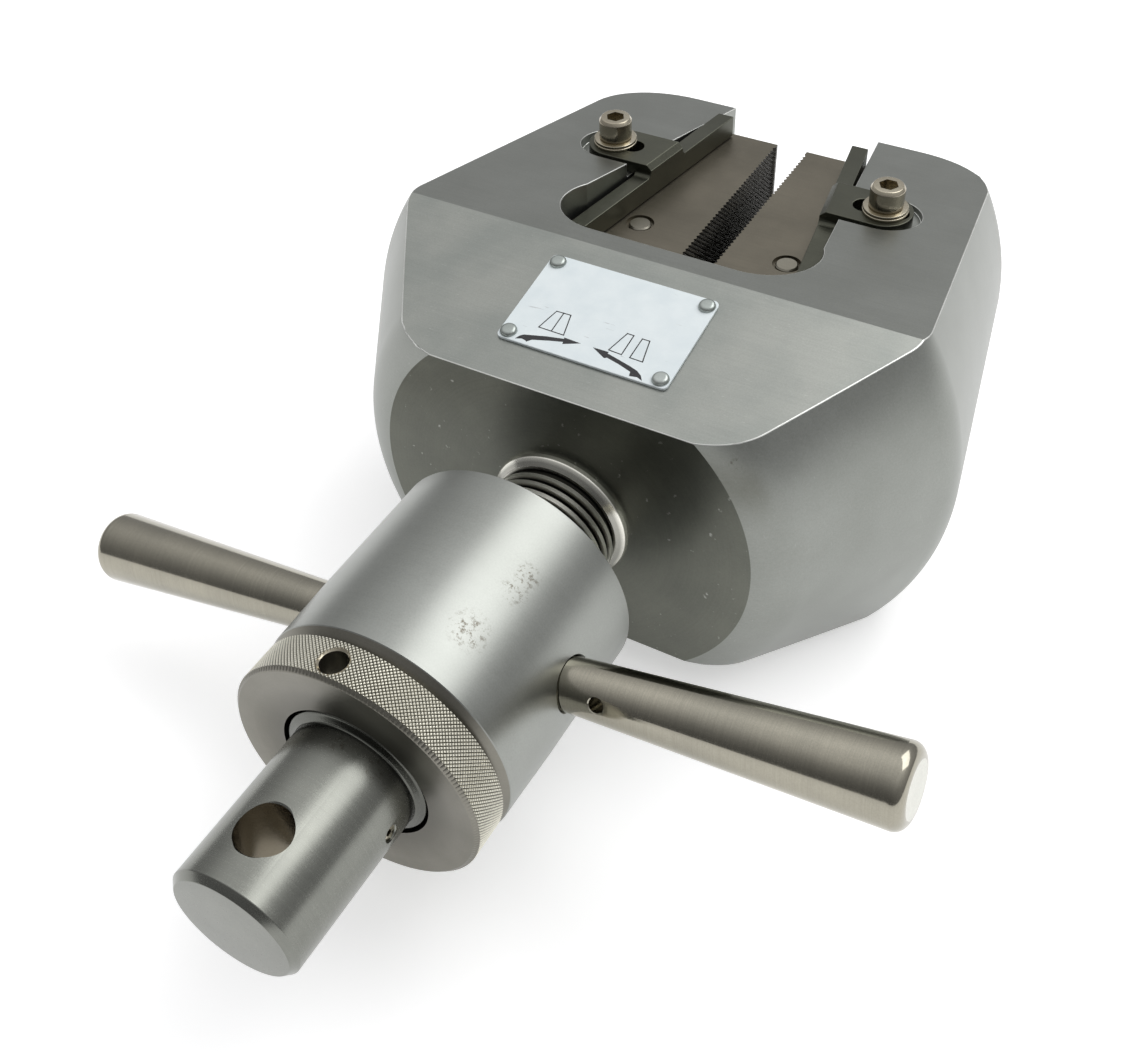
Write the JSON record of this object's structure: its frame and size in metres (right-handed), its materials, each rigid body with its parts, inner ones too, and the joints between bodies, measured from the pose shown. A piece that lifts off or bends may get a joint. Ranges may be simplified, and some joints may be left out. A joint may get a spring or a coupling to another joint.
{
  "type": "tensile test grip",
  "caption": "Wedge action grip for tensile tests: a faceted steel body holds two serrated wedge jaws, closed by a screwed barrel with handles turning on a stem.",
  "frame": {"origin": "under the middle of the grip, on the surface that its flat back lies on", "axes": "+Y along the pull axis from the stem end to the jaw end, +Z out of the front face, +X across the jaws towards the raised handle"},
  "size_m": [0.2232, 0.289, 0.0963],
  "materials": {
    "body_steel": "satin machined and fine blasted steel",
    "stem_steel": "satin turned steel with fine rings round it",
    "barrel_steel": "satin turned steel with a few brown specks",
    "collar_steel": "bright steel with a fine diamond knurl",
    "handle_steel": "polished stainless steel with fine turning marks",
    "jaw_steel": "ground tool steel, warm grey",
    "pin_steel": "ground pin",
    "retainer_steel": "milled steel, olive grey",
    "fastener_steel": "bright stainless steel",
    "bearing_steel": "ground bearing steel",
    "plate_white": "white enamelled thin metal with plain black shapes"
  },
  "bodies": {
    "grip_frame": {"grip_body": "body_steel", "right_retainer": "retainer_steel", "left_retainer": "retainer_steel", "right_retainer_washer": "fastener_steel", "left_retainer_washer": "fastener_steel", "right_retainer_screw": "fastener_steel", "left_retainer_screw": "fastener_steel", "name_plate": "plate_white", "plate_rivet_1": "fastener_steel", "plate_rivet_2": "fastener_steel", "plate_rivet_3": "fastener_steel", "plate_rivet_4": "fastener_steel"},
    "drawbar_unit": {"drawbar": "pin_steel", "stem": "stem_steel", "stem_set_screw": "fastener_steel", "lower_flange_washer": "bearing_steel", "upper_flange_washer": "bearing_steel"},
    "barrel_unit": {"adjusting_barrel": "barrel_steel", "lock_collar": "collar_steel", "right_handle": "handle_steel", "left_handle": "handle_steel", "collar_thrust_washer": "bearing_steel", "lower_needle_cage": "bearing_steel", "upper_needle_cage": "bearing_steel", "barrel_thrust_washer": "bearing_steel"},
    "right_jaw_unit": {"right_jaw": "jaw_steel", "right_jaw_pin": "pin_steel"},
    "left_jaw_unit": {"left_jaw": "jaw_steel", "left_jaw_pin": "pin_steel"}
  },
  "joints": [
    {"name": "drawbar_slide", "type": "slide", "parent": "grip_frame", "child": "drawbar_unit", "axis": [0, 1, 0], "range_m": [-0.004, 0.021]},
    {"name": "barrel_spin", "type": "hinge", "parent": "drawbar_unit", "child": "barrel_unit", "pos_m": [0, -0.0612, 0.048], "axis": [0, 1, 0], "range_deg": [-510.24, 2678.74]},
    {"name": "right_jaw_slide", "type": "slide", "parent": "grip_frame", "child": "right_jaw_unit", "axis": [-0.1564, 0.9877, 0], "range_m": [-0.00405, 0.02126]},
    {"name": "left_jaw_slide", "type": "slide", "parent": "grip_frame", "child": "left_jaw_unit", "axis": [0.1564, 0.9877, 0], "range_m": [-0.00405, 0.02126]}
  ],
  "couplings": [
    {"joint": "drawbar_slide", "follows": "barrel_spin", "m_per_rad": 0.00044917},
    {"joint": "right_jaw_slide", "follows": "barrel_spin", "m_per_rad": 0.00045477},
    {"joint": "left_jaw_slide", "follows": "barrel_spin", "m_per_rad": 0.00045477}
  ]
}
